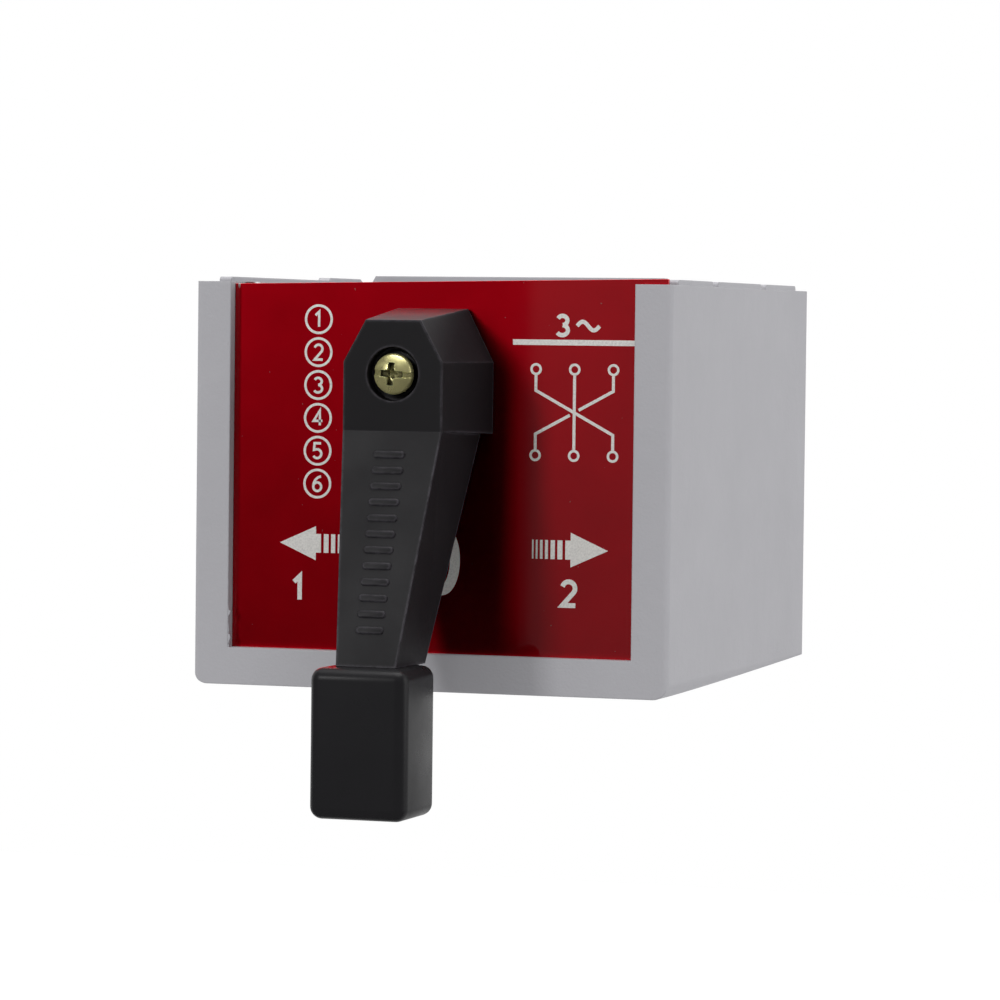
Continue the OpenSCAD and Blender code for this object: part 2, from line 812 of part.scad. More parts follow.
module bridge_first_shape(extra, over) {
  strip_back = level_one - pad_half - strip_gap;
  strip_front = strip_back - strip_width;
  first = forward_angle - pad_half_angle;
  intersection() {
    skin_shell(extra, over);
    union() {
      sector(first, first + 2 * pad_half_angle, strip_front, level_one + pad_half, extra);
      sector(first + 180, first + 180 + 2 * pad_half_angle, strip_front, level_one + pad_half, extra);
      sector(forward_angle, forward_angle + 180, strip_front, strip_back, extra);
    }
  }
}

module bridge_second_shape(extra, over) {
  strip_front = level_two + pad_half + strip_gap;
  strip_back = strip_front + strip_width;
  first = forward_angle - pad_half_angle;
  intersection() {
    skin_shell(extra, over);
    union() {
      sector(first, first + 2 * pad_half_angle, level_two - pad_half, strip_back, extra);
      sector(first + 180, first + 180 + 2 * pad_half_angle, level_two - pad_half, strip_back, extra);
      sector(forward_angle, forward_angle + 180, strip_front, strip_back, extra);
    }
  }
}

module bridge_third_shape(extra, over) {
  ring_front = level_three + pad_half;
  ring_back = ring_front + strip_width;
  first = throw_angle - pad_half_angle;
  last = forward_angle + pad_half_angle;
  intersection() {
    skin_shell(extra, over);
    union() {
      sector(first, last, level_three - pad_half, ring_back, extra);
      sector(first + 180, last + 180, level_three - pad_half, ring_back, extra);
      rod(ring_front - extra, ring_back + extra, 2 * drum_radius);
    }
  }
}

module crossbar_shape(middle_angle, extra, over) {
  intersection() {
    skin_shell(extra, over);
    sector(middle_angle - pad_half_angle, middle_angle + pad_half_angle, level_one - pad_half,
      level_two + pad_half, extra);
  }
}

// Places of the segment screws, each with the screw's axis along X outwards
module screw_at(turn, y) {
  translate([0, y, 0])
    rotate([0, -turn, 0])
      rotate([0, 90, 0])
        children();
}

module segment_screw_places() {
  first_strip = level_one - pad_half - strip_gap - strip_width / 2;
  second_strip = level_two + pad_half + strip_gap + strip_width / 2;
  third_strip = level_three + pad_half + strip_width / 2;
  for (turn = [0, 180]) {
    screw_at(forward_angle + turn, first_strip)
      children();
    screw_at(forward_angle + turn, second_strip)
      children();
    screw_at(quarter_angle + turn, third_strip)
      children();
    screw_at(throw_angle + turn, (level_one + level_two) / 2)
      children();
  }
}

module segment_screw(extra, over) {
  head_top = drum_radius - segment_head_sink;
  head_base = head_top - segment_head_height;
  post(drum_radius - segment_screw_length - extra, head_base + overrun / 2, segment_screw_radius + extra);
  post(head_base - extra, head_top + over, segment_head_radius + extra);
}

module segment_holes() {
  segment_screw_places()
    segment_screw(clearance, overrun);
}

module drum() {
  color(board_brown)
    translate([0, 0, shaft_height])
      difference() {
        rod(drum_front, drum_rear, drum_radius);
        rod(drum_front - overrun, drum_rear + overrun, shaft_radius + clearance);
        bridge_first_shape(clearance, overrun);
        bridge_second_shape(clearance, overrun);
        bridge_third_shape(clearance, overrun);
        crossbar_shape(throw_angle, clearance, overrun);
        crossbar_shape(throw_angle + 180, clearance, overrun);
        segment_holes();
        translate([-drum_radius - overrun, drum_pin_place, 0])
          rotate([0, 90, 0])
            cylinder(h = 2 * (drum_radius + overrun), r = cross_pin_radius + clearance);
      }
}

module cross_pins() {
  drum_pin_half = drum_radius - pin_sink;
  wheel_pin_half = wheel_radius - pin_sink;
  color(steel)
    translate([0, 0, shaft_height]) {
      translate([-drum_pin_half, drum_pin_place, 0])
        rotate([0, 90, 0])
          cylinder(h = 2 * drum_pin_half, r = cross_pin_radius);
      translate([0, wheel_pin_place, -wheel_pin_half])
        cylinder(h = 2 * wheel_pin_half, r = cross_pin_radius);
    }
}

module bridge_first() {
  color(brass)
    translate([0, 0, shaft_height])
      difference() {
        bridge_first_shape(0, 0);
        segment_holes();
      }
}

module bridge_second() {
  color(brass)
    translate([0, 0, shaft_height])
      difference() {
        bridge_second_shape(0, 0);
        segment_holes();
      }
}

module bridge_third() {
  color(brass)
    translate([0, 0, shaft_height])
      difference() {
        bridge_third_shape(0, 0);
        segment_holes();
      }
}

module crossbar_left() {
  color(brass)
    translate([0, 0, shaft_height])
      difference() {
        crossbar_shape(throw_angle + 180, 0, 0);
        segment_holes();
      }
}

module crossbar_right() {
  color(brass)
    translate([0, 0, shaft_height])
      difference() {
        crossbar_shape(throw_angle, 0, 0);
        segment_holes();
      }
}

module segment_screws() {
  color(steel)
    translate([0, 0, shaft_height])
      segment_screw_places()
        segment_screw(0, 0);
}

module terminal_places() {
  for (y = [level_one, level_two, level_three])
    for (side = [-1, 1])
      translate([side * terminal_offset, y, 0])
        children();
}

module bracket_screw_places() {
  for (y = [front_bracket_place + bracket_thickness + bracket_foot / 2,
        rear_bracket_place + bracket_thickness + bracket_foot / 2])
    for (x = [-bracket_screw_offset, bracket_screw_offset])
      translate([x, y, 0])
        children();
}

module terminal_board() {
  color(board_brown)
    difference() {
      block([-board_half_width, board_front, board_bottom], [board_half_width, -board_rear, board_top]);
      terminal_places()
        post(board_bottom - overrun, board_top + overrun, terminal_radius + clearance);
      post_places()
        post(board_bottom - overrun, board_top + overrun, tapping_radius + clearance);
      bracket_screw_places()
        post(board_bottom - overrun, board_top + overrun, tapping_radius + clearance);
      translate([detent_screw_offset, wheel_pin_place, 0])
        post(board_bottom - overrun, board_top + overrun, tapping_radius + clearance);
    }
}

module board_screws() {
  color(steel)
    post_places()
      tapping_screw(board_top, tapping_length);
}

// The right-hand finger of one level: a foot on the board and a leaf beside the drum
module finger(y) {
  knee = board_top + finger_knee;
  upper = shaft_height - finger_straight;
  tip = shaft_height + finger_tip_rise;
  difference() {
    translate([0, y + finger_width / 2, 0])
      rotate([90, 0, 0])
        linear_extrude(height = finger_width)
          polygon([[finger_bend, board_top], [finger_foot_end, board_top],
            [finger_foot_end, board_top + finger_thickness],
            [finger_bend + finger_thickness, board_top + finger_thickness],
            [finger_bend + finger_thickness, knee], [finger_face + finger_thickness, upper],
            [finger_face + finger_thickness, tip], [finger_face, tip],
            [finger_face, upper], [finger_bend, knee]]);
    translate([terminal_offset, y, 0])
      post(board_top - overrun, board_top + finger_thickness + overrun, terminal_radius + clearance);
  }
}

module finger_row() {
  color(copper)
    for (y = [level_one, level_two, level_three])
      finger(y);
}

module contact_fingers_left() {
  mirror([1, 0, 0])
    finger_row();
}

module contact_fingers_right() {
  finger_row();
}

module contact_buttons() {
  color([0.8, 0.8, 0.78])
    for (y = [level_one, level_two, level_three])
      pair()
        translate([button_tip, y, shaft_height])
          rotate([0, 90, 0])
            cylinder(h = button_height, r = button_radius);
}

module terminal_screws() {
  seat = board_top + finger_thickness + clamp_thickness;
  head_top = seat + terminal_head_height;
  color(steel)
    terminal_places()
      difference() {
        union() {
          post(board_bottom, seat, terminal_radius);
          post(seat, head_top, terminal_head_radius);
        }
        block([-slot_width / 2, -terminal_head_radius - overrun, head_top - slot_depth],
          [slot_width / 2, terminal_head_radius + overrun, head_top + overrun]);
      }
}

module wire_clamps() {
  low = board_top + finger_thickness;
  color(brass)
    terminal_places()
      difference() {
        block([-clamp_side / 2, -clamp_side / 2, low], [clamp_side / 2, clamp_side / 2, low + clamp_thickness]);
        post(low - overrun, low + clamp_thickness + overrun, terminal_radius + clearance);
      }
}

// An upright plate with a hole for its bush and a foot behind it
module bracket(y_front) {
  y_back = y_front + bracket_thickness;
  shoulder = bracket_crown / 2;
  difference() {
    union() {
      translate([0, y_back, 0])
        rotate([90, 0, 0])
          linear_extrude(height = bracket_thickness)
            polygon([[-bracket_half_width, board_top], [bracket_half_width, board_top],
              [bracket_half_width, shaft_height + shoulder],
              [bracket_half_width - shoulder, shaft_height + bracket_crown],
              [shoulder - bracket_half_width, shaft_height + bracket_crown],
              [-bracket_half_width, shaft_height + shoulder]]);
      block([-bracket_half_width, y_front, board_top],
        [bracket_half_width, y_back + bracket_foot, board_top + bracket_thickness]);
    }
    translate([0, 0, shaft_height])
      rod(y_front - overrun, y_back + overrun, bush_radius + clearance);
    bracket_screw_places()
      post(board_top - overrun, board_top + bracket_thickness + overrun, tapping_radius + clearance);
  }
}

module front_bracket() {
  color(steel)
    bracket(front_bracket_place);
}

module rear_bracket() {
  color(steel)
    bracket(rear_bracket_place);
}

module bracket_screws() {
  color(steel)
    bracket_screw_places()
      tapping_screw(board_top + bracket_thickness, bracket_thickness + board_thickness);
}

module bush(y_front) {
  color(brass)
    translate([0, 0, shaft_height])
      difference() {
        union() {
          rod(y_front - bush_flange, y_front, bush_flange_radius);
          rod(y_front - bush_flange / 2, y_front + bracket_thickness, bush_radius);
        }
        rod(y_front - bush_flange - overrun, y_front + bracket_thickness + overrun,
          shaft_radius + clearance);
      }
}

module front_bush() {
  bush(front_bracket_place);
}

module rear_bush() {
  bush(rear_bracket_place);
}

module shaft_clips() {
  inner = shaft_radius - clip_groove + clearance;
  color(steel)
    translate([0, 0, shaft_height])
      for (y = [front_clip, rear_clip])
        difference() {
          rod(y, y + clip_thickness, clip_radius);
          rod(y - overrun, y + clip_thickness + overrun, inner);
          block([-inner, y - overrun, -clip_radius - overrun], [inner, y + clip_thickness + overrun, 0]);
        }
}

module detent_wheel() {
  color(steel)
    translate([0, 0, shaft_height])
      difference() {
        rod(wheel_front, wheel_back, wheel_radius);
        rod(wheel_front - overrun, wheel_back + overrun, shaft_radius + clearance);
        for (turn = [-throw_angle, 0, throw_angle])
          rotate([0, turn, 0])
            translate([nose_offset, 0, 0])
              rod(wheel_front - overrun, wheel_back + overrun, notch_radius);
        translate([0, wheel_pin_place, -wheel_radius - overrun])
          cylinder(h = 2 * (wheel_radius + overrun), r = cross_pin_radius + clearance);
      }
}

module detent_spring() {
  tip = shaft_height + finger_tip_rise;
  color(steel)
    difference() {
      union() {
        block([detent_upright, wheel_front, board_top],
          [detent_foot_end, wheel_back, board_top + detent_thickness]);
        block([detent_upright, wheel_front, board_top], [detent_upright + detent_thickness, wheel_back, tip]);
        translate([nose_offset, 0, shaft_height])
          rod(wheel_front, wheel_back, nose_radius);
        block([nose_offset, wheel_front, shaft_height - nose_radius],
          [detent_upright + detent_thickness / 2, wheel_back, shaft_height + nose_radius]);
      }
      translate([detent_screw_offset, wheel_pin_place, 0])
        post(board_top - overrun, board_top + detent_thickness + overrun, tapping_radius + clearance);
    }
}

module detent_screw() {
  color(steel)
    translate([detent_screw_offset, wheel_pin_place, 0])
      tapping_screw(board_top + detent_thickness, detent_thickness + board_thickness);
}

module cable_grommet() {
  body = cable_radius + grommet_thickness;
  lip = body + grommet_lip;
  lip_seat = bottom + underside_rise * (1 - (cable_distance + lip) / housing_depth) - clearance;
  upper_seat = floor_level + clearance;
  color(charcoal)
    translate([0, -cable_distance, 0])
      difference() {
        union() {
          post(lip_seat - grommet_lip_thickness, upper_seat + grommet_lip_thickness, body);
          post(lip_seat - grommet_lip_thickness, lip_seat, lip);
          post(upper_seat, upper_seat + grommet_lip_thickness, lip);
        }
        post(lip_seat - grommet_lip_thickness - overrun, upper_seat + grommet_lip_thickness + overrun,
          cable_radius);
      }
}

housing();
face_plate();
top_cover();
cover_screws();
lever();
grip_cap();
lever_screw();
plain_washer();
spring_washer();
shaft();
drum();
cross_pins();
bridge_first();
bridge_second();
bridge_third();
crossbar_left();
crossbar_right();
segment_screws();
terminal_board();
board_screws();
contact_fingers_left();
contact_fingers_right();
contact_buttons();
terminal_screws();
wire_clamps();
front_bracket();
rear_bracket();
bracket_screws();
front_bush();
rear_bush();
shaft_clips();
detent_wheel();
detent_spring();
detent_screw();
cable_grommet();
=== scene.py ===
"""The looks of the reversing drum switch: materials, print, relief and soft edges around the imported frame.

Shapes are written in millimetres and taken to metres by MM. Camera, shaders, lamps and stage are in metres.
"""

import json
import math

import bmesh
import bpy
from mathutils import Matrix, Vector


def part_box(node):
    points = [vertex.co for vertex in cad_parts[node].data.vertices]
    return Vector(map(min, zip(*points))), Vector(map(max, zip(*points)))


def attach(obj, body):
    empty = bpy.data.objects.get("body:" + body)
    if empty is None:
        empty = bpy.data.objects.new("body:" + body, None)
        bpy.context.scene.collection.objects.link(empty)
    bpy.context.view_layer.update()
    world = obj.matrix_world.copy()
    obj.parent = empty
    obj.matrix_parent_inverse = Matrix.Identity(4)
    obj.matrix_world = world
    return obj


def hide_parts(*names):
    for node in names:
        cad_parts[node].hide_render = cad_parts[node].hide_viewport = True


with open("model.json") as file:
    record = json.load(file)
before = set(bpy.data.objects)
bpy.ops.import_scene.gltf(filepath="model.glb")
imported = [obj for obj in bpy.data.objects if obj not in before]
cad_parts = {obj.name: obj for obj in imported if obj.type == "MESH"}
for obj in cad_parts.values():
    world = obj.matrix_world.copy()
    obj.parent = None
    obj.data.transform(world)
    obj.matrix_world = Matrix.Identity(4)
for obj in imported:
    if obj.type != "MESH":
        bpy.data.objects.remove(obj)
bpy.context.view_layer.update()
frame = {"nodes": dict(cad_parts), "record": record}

MM = 0.001
NODES = frame["nodes"]
SHAFT_Z = 22.66
scene = bpy.context.scene

# ---------------------------------------------------------------- camera

CAMERA_AT = Vector((296.61378, -947.87457, 30.41417)) * MM
CAMERA_YAW = 0.32198
CAMERA_PITCH = 0.03658
CAMERA_ROLL = 0.01148
SENSOR_WIDTH = 36
PICTURE_WIDTH = 1000
FOCAL_PIXELS = 4504.0


def camera_matrix():
    """The photograph's viewpoint as a matrix, from its yaw, pitch and roll."""
    forward = Vector((-math.sin(CAMERA_YAW) * math.cos(CAMERA_PITCH),
                      math.cos(CAMERA_YAW) * math.cos(CAMERA_PITCH),
                      -math.sin(CAMERA_PITCH)))
    level = Vector((math.cos(CAMERA_YAW), math.sin(CAMERA_YAW), 0))
    upright = level.cross(forward)
    right = math.cos(CAMERA_ROLL) * level + math.sin(CAMERA_ROLL) * upright
    up = -math.sin(CAMERA_ROLL) * level + math.cos(CAMERA_ROLL) * upright
    turn = Matrix((right, up, -forward)).transposed().to_4x4()
    return Matrix.Translation(CAMERA_AT) @ turn


camera_data = bpy.data.cameras.new("camera")
camera_data.lens = FOCAL_PIXELS / PICTURE_WIDTH * SENSOR_WIDTH
camera_data.sensor_width = SENSOR_WIDTH
camera_data.clip_start = 0.01
camera_data.clip_end = 50
camera = bpy.data.objects.new("camera", camera_data)
camera.matrix_world = camera_matrix()
scene.collection.objects.link(camera)
scene.camera = camera
scene.view_settings.view_transform = "Standard"

# ---------------------------------------------------------------- materials

# Noise is given in cells per metre; radii and the heights of bumps are in metres.
# Cosines of the turn at an edge: where the lighter edge colour starts, and where it is full (a painted
# highlight on the plastics, polished edges on the metals)
EDGE_FROM, EDGE_TO = 0.996, 0.91
# Openness at which a corner counts as shut, and as open
SHUT, OPEN = 0.45, 0.8


class Graph:
    """A small helper that adds and wires shader nodes."""

    def __init__(self, name):
        self.material = bpy.data.materials.new(name)
        self.material.use_nodes = True
        self.tree = self.material.node_tree
        self.tree.nodes.clear()
        self.out = self.add("ShaderNodeOutputMaterial")
        self.shader = self.add("ShaderNodeBsdfPrincipled")
        self.wire(self.shader, "BSDF", self.out, "Surface")
        self.place = self.add("ShaderNodeTexCoord")

    def add(self, kind, **settings):
        """A new node with its settings."""
        node = self.tree.nodes.new(kind)
        for key, value in settings.items():
            setattr(node, key, value)
        return node

    def wire(self, source, output, target, entry):
        """A link from one node's output to another's input, by name or number."""
        self.tree.links.new(source.outputs[output], target.inputs[entry])

    def noise(self, scale, detail=3.0, rough=0.55, stretch=None):
        """Noise of so many cells per metre, stretched along one axis where asked."""
        node = self.add("ShaderNodeTexNoise")
        node.inputs["Scale"].default_value = scale
        node.inputs["Detail"].default_value = detail
        node.inputs["Roughness"].default_value = rough
        if stretch:
            mapping = self.add("ShaderNodeMapping")
            mapping.inputs["Scale"].default_value = stretch
            self.wire(self.place, "Object", mapping, "Vector")
            self.wire(mapping, "Vector", node, "Vector")
        else:
            self.wire(self.place, "Object", node, "Vector")
        return node

    def spread(self, source, output, low, high, to_low, to_high):
        """A value from one range taken to another."""
        node = self.add("ShaderNodeMapRange")
        node.inputs["From Min"].default_value = low
        node.inputs["From Max"].default_value = high
        node.inputs["To Min"].default_value = to_low
        node.inputs["To Max"].default_value = to_high
        self.wire(source, output, node, "Value")
        return node

    def product(self, first, second):
        """Two spread values multiplied."""
        node = self.add("ShaderNodeMath", operation="MULTIPLY")
        self.wire(first, "Result", node, 0)
        self.wire(second, "Result", node, 1)
        return node

    def blend(self, factor, first, second):
        """Two colours, or colour sockets, mixed by a value."""
        node = self.add("ShaderNodeMix", data_type="RGBA")
        self.tree.links.new(factor, node.inputs[0])
        for entry, value in ((6, first), (7, second)):
            if isinstance(value, tuple):
                node.inputs[entry].default_value = (*value, 1)
            else:
                self.tree.links.new(value, node.inputs[entry])
        return node.outputs[2]

    def edges(self, radius):
        """How near a surface is to one of its sharp edges, from 0 to 1."""
        soft = self.add("ShaderNodeBevel", samples=6)
        soft.inputs["Radius"].default_value = radius
        flat = self.add("ShaderNodeNewGeometry")
        dot = self.add("ShaderNodeVectorMath", operation="DOT_PRODUCT")
        self.wire(soft, "Normal", dot, 0)
        self.wire(flat, "Normal", dot, 1)
        return self.spread(dot, "Value", EDGE_FROM, EDGE_TO, 0, 1)

    def corners(self, reach):
        """How open a surface is, from 0 deep in a recess to 1 on the outside."""
        shut = self.add("ShaderNodeAmbientOcclusion", samples=8, only_local=True)
        shut.inputs["Distance"].default_value = reach
        return self.spread(shut, "AO", SHUT, OPEN, 0, 1)

    def bump(self, layers, rounding=0.0):
        """Bumps stacked on each other, each (node, height in metres), over edges shaded round."""
        last = None
        if rounding:
            last = self.add("ShaderNodeBevel", samples=8)
            last.inputs["Radius"].default_value = rounding
        for node, height in layers:
            bump = self.add("ShaderNodeBump")
            bump.inputs["Strength"].default_value = 1
            bump.inputs["Distance"].default_value = height
            self.wire(node, "Fac", bump, "Height")
            if last:
                self.wire(last, "Normal", bump, "Normal")
            last = bump
        self.wire(last, "Normal", self.shader, "Normal")

    def paint(self, base, roughness):
        """The shader's colour from a socket and its roughness from a spread value."""
        self.tree.links.new(base, self.shader.inputs["Base Color"])
        self.wire(roughness, "Result", self.shader, "Roughness")

    def set(self, **values):
        """Constant values on the shader's sockets, with _ for each space."""
        for name, value in values.items():
            self.shader.inputs[name.replace("_", " ")].default_value = value


def shade(colour, factor):
    """A colour made lighter or darker."""
    return tuple(min(1.0, c * factor) for c in colour)


def moulded(name, colour, rough, grain, grain_height, wear, wear_radius=0.0005, mottling=0.06,
            rounding=0.0, unevenness=0.05, **more):
    """A moulded plastic or rubber: eroded grain, faint flow mottling, a painted highlight along the edges and
    a little dust.
    """
    g = Graph(name)
    tone = g.spread(g.noise(34, 3), "Fac", 0.3, 0.7, 0, 1)
    base = g.blend(tone.outputs[0], shade(colour, 1 - mottling), shade(colour, 1 + mottling))
    dust = g.spread(g.noise(2400, 1), "Fac", 0.78, 0.84, 0, 0.3)
    base = g.blend(dust.outputs[0], base, shade(colour, 1.6))
    # Painted highlight: the colour is made lighter along the edges, in patches, to stand in for light caught
    # on rounded edges
    highlight_patches = g.spread(g.noise(650, 2), "Fac", 0.35, 0.6, 0.3, 1)
    painted_highlight = g.product(g.edges(wear_radius), highlight_patches)
    base = g.blend(painted_highlight.outputs[0], base, shade(colour, wear))
    satin = g.spread(g.noise(90, 4), "Fac", 0.25, 0.75, rough - unevenness, rough + unevenness)
    g.paint(base, satin)
    g.bump([(g.noise(grain, 2), grain_height), (g.noise(260, 2), grain_height * 1.5)], rounding)
    g.set(**more)
    return g.material


def metal(name, colour, rough, brush=(1, 1, 1), tarnish=0.25, recess_shade=0.0, metallic=1.0):
    """A plated or machined metal: brush lines, tarnish clouds, polished edges, perhaps painted shade in its
    recesses.
    """
    g = Graph(name)
    clouds = g.spread(g.noise(160, 4), "Fac", 0.35, 0.7, 0, 1)
    base = g.blend(clouds.outputs[0], colour, shade(colour, 1 - tarnish))
    base = g.blend(g.edges(0.0003).outputs[0], base, shade(colour, 1.15))
    # Painted shade: the colour is darkened towards black deep in recesses, where shade falls
    if recess_shade:
        base = g.blend(g.corners(recess_shade).outputs[0], shade(colour, 0.06), base)
    lines = g.noise(900, 3, 0.6, brush)
    g.paint(base, g.spread(lines, "Fac", 0.3, 0.7, rough * 0.75, rough * 1.3))
    g.bump([(lines, 0.000004)])
    g.set(Metallic=metallic)
    return g.material


RED = (0.66, 0.0008, 0.0110)
DUST = (0.45, 0.3, 0.28)
SCRATCH = (0.72, 0.62, 0.58)
# Heights between which the plate's scratches set in
SCRATCHED_FROM, SCRATCHED_TO = 0.031, 0.0405


def enamel(name):
    """Deep red transparent print on aluminium sheet, under a clear glossy coat, scratched at its top."""
    g = Graph(name)
    tone = g.spread(g.noise(55, 3), "Fac", 0.3, 0.7, 0, 1)
    base = g.blend(tone.outputs[0], shade(RED, 0.94), shade(RED, 1.06))
    dust = g.spread(g.noise(1100, 1), "Fac", 0.80, 0.83, 0, 0.5)
    base = g.blend(dust.outputs[0], base, DUST)
    scuffs = g.spread(g.noise(420, 2, 0.6, (1, 1, 0.16)), "Fac", 0.70, 0.73, 0, 1)
    place = g.add("ShaderNodeSeparateXYZ")
    g.wire(g.place, "Object", place, "Vector")
    near_top = g.spread(place, "Z", SCRATCHED_FROM, SCRATCHED_TO, 0, 1)
    base = g.blend(g.product(scuffs, near_top).outputs[0], base, SCRATCH)
    g.paint(base, g.spread(g.noise(140, 2), "Fac", 0.3, 0.7, 0.285, 0.300))
    g.bump([(g.noise(45, 2), 0.00001)])
    g.set(Metallic=1.0, Coat_Weight=0.55, Coat_Roughness=0.035, Coat_IOR=1.5)
    return g.material


def bare_metal(name):
    """Aluminium left bare in the print: satin and pale, with a fine speckle and a few pits."""
    g = Graph(name)
    speck = g.spread(g.noise(2600, 2), "Fac", 0.35, 0.7, 0, 1)
    base = g.blend(speck.outputs[0], (0.98, 0.96, 0.92), (0.80, 0.78, 0.75))
    pits = g.spread(g.noise(3100, 1), "Fac", 0.74, 0.8, 0, 1)
    base = g.blend(pits.outputs[0], base, (0.16, 0.1, 0.1))
    g.paint(base, g.spread(g.noise(1200, 2), "Fac", 0.3, 0.7, 0.32, 0.42))
    g.bump([(g.noise(2600, 2), 0.000006)])
    g.set(Metallic=0.56)
    return g.material


GREY = (0.406, 0.402, 0.426)
CHARCOAL = (0.0098, 0.0090, 0.0106)
BLACK = (0.0150, 0.0146, 0.0160)

MOULDED = {
    "housing_plastic": dict(colour=GREY, rough=0.58, grain=1700, grain_height=0.00006, wear=1.08,
                            mottling=0.02, rounding=0.0005, Specular_IOR_Level=0.35),
    "lever_plastic": dict(colour=CHARCOAL, rough=0.46, grain=2200, grain_height=0.000014, wear=6.0,
                          wear_radius=0.0009, mottling=0.08, Specular_IOR_Level=0.19),
    "grip_rubber": dict(colour=BLACK, rough=0.30, grain=2600, grain_height=0.000006, wear=1.1,
                        mottling=0.1, unevenness=0.08, Specular_IOR_Level=0.11),
    "phenolic": dict(colour=(0.070, 0.030, 0.014), rough=0.34, grain=1900, grain_height=0.00001, wear=1.6,
                     mottling=0.22),
    "grommet_rubber": dict(colour=(0.020, 0.020, 0.021), rough=0.55, grain=2300, grain_height=0.00001,
                           wear=1.5),
}
METALS = {
    "yellow_zinc": dict(colour=(0.97, 0.90, 0.42), rough=0.33, tarnish=0.3, recess_shade=0.0016, metallic=0.78),
    "steel": dict(colour=(0.62, 0.63, 0.63), rough=0.30, tarnish=0.18),
    # A near-black steel, given to the washers as painted shade in the lever's recess
    "recess_shadow_steel": dict(colour=(0.045, 0.044, 0.046), rough=0.45, tarnish=0.2),
    "spring_steel": dict(colour=(0.40, 0.41, 0.43), rough=0.34, brush=(0.05, 1, 1)),
    "contact_brass": dict(colour=(0.76, 0.55, 0.24), rough=0.30, tarnish=0.3),
    "finger_bronze": dict(colour=(0.68, 0.40, 0.21), rough=0.33, brush=(1, 1, 0.06), tarnish=0.3),
    "contact_silver": dict(colour=(0.86, 0.85, 0.81), rough=0.26, tarnish=0.2),
}
LOOKS = {"plate_enamel": enamel("plate_enamel")}
LOOKS.update({name: moulded(name, **values) for name, values in MOULDED.items()})
LOOKS.update({name: metal(name, **values) for name, values in METALS.items()})
PRINT = bare_metal("plate_print")

# Painted shade: the two washers deep in the lever's recess are coloured near-black to stand in for the shadow
# there, though they are steel like the rest
SHADOWED_WASHERS = ("plain_washer", "spring_washer")
slots_of = {row["node"]: row["material_slot"] for row in frame["record"]["subparts"]}
for name, node in NODES.items():
    node.data.materials.clear()
    node.data.materials.append(LOOKS["recess_shadow_steel" if name in SHADOWED_WASHERS else slots_of[name]])

# ---------------------------------------------------------------- soft edges on the frame's own solids

# Width in millimetres and number of segments
SOFT_EDGES = {"face_plate": (0.12, 2), "lever": (0.5, 3)}
for name, (width, segments) in SOFT_EDGES.items():
    node = NODES[name]
    weld = node.modifiers.new("weld", "WELD")
    weld.merge_threshold = 0.000005
    flat = node.modifiers.new("flat", "DECIMATE")
    flat.decimate_type = "DISSOLVE"
    flat.angle_limit = math.radians(0.6)
    soft = node.modifiers.new("soft", "BEVEL")
    soft.width = width * MM
    soft.segments = segments
    soft.limit_method = "ANGLE"
    soft.angle_limit = math.radians(32)
    soft.harden_normals = True

# ---------------------------------------------------------------- mesh helpers


def mesh_object(name, bm, material):
    """A finished mesh as an object in the scene."""
    mesh = bpy.data.meshes.new(name)
    bm.to_mesh(mesh)
    bm.free()
    mesh.materials.append(material)
    piece = bpy.data.objects.new(name, mesh)
    scene.collection.objects.link(piece)
    return piece


def new_piece(name, bm, material, body, smooth_angle=None):
    """A finished mesh as a piece of the object, riding on one body."""
    bmesh.ops.recalc_face_normals(bm, faces=bm.faces)
    piece = mesh_object(name, bm, material)
    if smooth_angle is not None:
        piece.data.shade_smooth()
        piece.data.set_sharp_from_angle(angle=math.radians(smooth_angle))
    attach(piece, body)
    return piece


def skin(bm, rings):
    """Faces between closed rings that have equally many corners."""
    for a, b in zip(rings, rings[1:]):
        n = len(a)
        for i in range(n):
            bm.faces.new((a[i], a[(i + 1) % n], b[(i + 1) % n], b[i]))


def capped(bm, rings):
    """A skin over the rings, closed at both ends."""
    skin(bm, rings)
    bm.faces.new(rings[-1])
    bm.faces.new(rings[0][::-1])


def prism(bm, outline, front, back, hole=None):
    """A flat piece between two depths, from the (x, z) points of its outline and perhaps of a hole."""
    rings = [[[bm.verts.new(Vector((x, y, z)) * MM) for x, z in loop] for y in (front, back)]
             for loop in ([outline, hole] if hole else [outline])]
    for loop in rings:
        skin(bm, loop)
    for side in (0, 1):
        if hole:
            skin(bm, (rings[0][side], rings[1][side]))
        else:
            bm.faces.new(rings[0][side])


def ribbon(points, width, closed=False):
    """The outline of a line of constant width with mitred corners; a closed one gives outline and hole."""
    half = width / 2
    n = len(points)
    left, right = [], []
    for i, (x, z) in enumerate(points):
        before = points[i - 1] if (closed or i) else None
        after = points[(i + 1) % n] if (closed or i < n - 1) else None
        ways = []
        if before:
            ways.append(Vector((x - before[0], z - before[1])).normalized())
        if after:
            ways.append(Vector((after[0] - x, after[1] - z)).normalized())
        way = sum(ways, Vector((0, 0))).normalized()
        across = Vector((-way.y, way.x))
        stretch = half / max(0.35, across.dot(Vector((-ways[0].y, ways[0].x))))
        left.append((x + across.x * stretch, z + across.y * stretch))
        right.append((x - across.x * stretch, z - across.y * stretch))
    return (left, right) if closed else (left + right[::-1], None)


def arc(cx, cz, rx, rz, start, end, steps):
    """Points on part of an ellipse, with angles in degrees."""
    angles = [math.radians(start + (end - start) * i / steps) for i in range(steps + 1)]
    return [(cx + rx * math.cos(a), cz + rz * math.sin(a)) for a in angles]


def ring_line(cx, cz, rx, rz, width, steps):
    """A closed line of constant width round an ellipse."""
    return ribbon(arc(cx, cz, rx, rz, 0, 360, steps)[:-1], width, True)


def rectangle(x0, x1, z0, z1):
    """A rectangle's outline, without a hole."""
    return [(x0, z0), (x1, z0), (x1, z1), (x0, z1)], None


